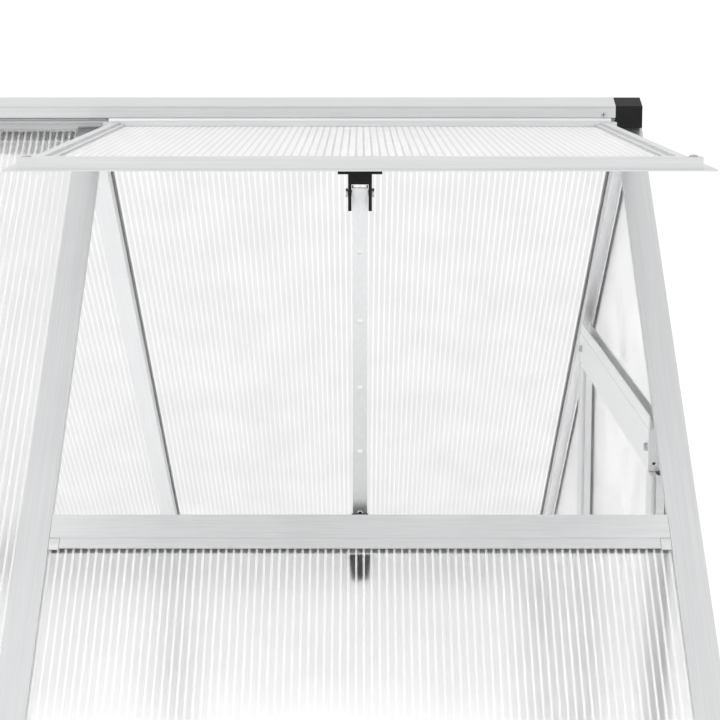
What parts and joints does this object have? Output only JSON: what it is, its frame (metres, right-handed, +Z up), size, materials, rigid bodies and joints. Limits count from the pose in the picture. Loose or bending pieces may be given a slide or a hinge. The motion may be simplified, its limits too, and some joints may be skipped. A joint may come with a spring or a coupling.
{
  "type": "greenhouse",
  "caption": "Small gabled greenhouse: aluminium frame, translucent twin-wall sheets, a propped roof vent on a holed stay and a hinged gable door.",
  "frame": {"origin": "on the ground, under the middle of the ridge", "axes": "+X along the ridge towards the bay with the roof vent, -Y the slope with the vent, +Z up"},
  "size_m": [1.282, 1.911, 1.95],
  "materials": {
    "aluminium": "mill finish with fine drawn grain along each bar",
    "base_aluminium": "duller mill finish",
    "twin_wall": "translucent ribbed twin-wall polycarbonate, slightly hazy gloss",
    "black_plastic": "satin moulded black",
    "zinc_steel": "zinc plated"
  },
  "bodies": {
    "frame": {"base_rail_front": "base_aluminium", "base_rail_back": "base_aluminium", "base_rail_left": "base_aluminium", "base_rail_right": "base_aluminium", "base_corner_brackets": "zinc_steel", "corner_posts_left": "aluminium", "corner_posts_right": "aluminium", "wall_studs": "aluminium", "eave_rail_front": "aluminium", "eave_rail_back": "aluminium", "gutter_end_caps": "black_plastic", "ridge_beam": "aluminium", "ridge_cap_left": "black_plastic", "ridge_cap_right": "black_plastic", "gable_rafter_front_left": "aluminium", "gable_rafter_front_right": "aluminium", "gable_rafter_back_left": "aluminium", "gable_rafter_back_right": "aluminium", "mid_rafter_front": "aluminium", "mid_rafter_back": "aluminium", "gable_beam_right": "aluminium", "gable_stud_front": "aluminium", "gable_stud_back": "aluminium", "door_header": "aluminium", "door_jamb_hinge_side": "aluminium", "door_jamb_latch_side": "aluminium", "vent_sill": "aluminium", "vent_sill_clips": "aluminium", "stay_peg": "black_plastic", "frame_bolts": "zinc_steel", "wall_sheets_front": "twin_wall", "wall_sheets_back": "twin_wall", "roof_sheet_front_left": "twin_wall", "roof_sheet_front_right": "twin_wall", "roof_sheet_back_left": "twin_wall", "roof_sheet_back_right": "twin_wall", "gable_sheet_right_top": "twin_wall", "gable_sheet_right_centre": "twin_wall", "gable_sheets_right_side": "twin_wall", "gable_sheet_left_top": "twin_wall", "gable_sheets_left_side": "twin_wall", "frame_hinge_leaves": "zinc_steel", "door_hinge_pins": "zinc_steel"},
    "vent": {"vent_hinge_rail": "aluminium", "vent_side_rail_left": "aluminium", "vent_side_rail_right": "aluminium", "vent_front_rail": "aluminium", "vent_sheet": "twin_wall", "vent_corner_screws": "zinc_steel", "stay_bracket": "black_plastic", "stay_pin": "zinc_steel"},
    "stay": {"stay": "aluminium", "stay_grip": "black_plastic"},
    "door": {"door_stiles": "aluminium", "door_rails": "aluminium", "door_sheets": "twin_wall", "door_hinge_leaves": "zinc_steel"},
    "latch": {"latch_handle": "black_plastic", "latch_tongue": "zinc_steel"}
  },
  "joints": [
    {"name": "vent_hinge", "type": "hinge", "parent": "frame", "child": "vent", "pos_m": [0, -0.0205, 1.9236], "axis": [-1, 0, 0], "range_deg": [-40, 0]},
    {"name": "stay_pivot", "type": "hinge", "parent": "vent", "child": "stay", "pos_m": [0.313, -0.53896, 1.8891], "axis": [-1, 0, 0], "range_deg": [-0.5, 20.5]},
    {"name": "door_hinge", "type": "hinge", "parent": "frame", "child": "door", "pos_m": [-0.6366, 0.2852, 0.813], "axis": [0, 0, -1], "range_deg": [0, 110]},
    {"name": "latch_turn", "type": "hinge", "parent": "door", "child": "latch", "pos_m": [-0.626, -0.2715, 0.96], "axis": [-1, 0, 0], "range_deg": [0, 90]}
  ],
  "couplings": [
    {"joint": "stay_pivot", "follows": "vent_hinge", "ratio": -0.5}
  ]
}
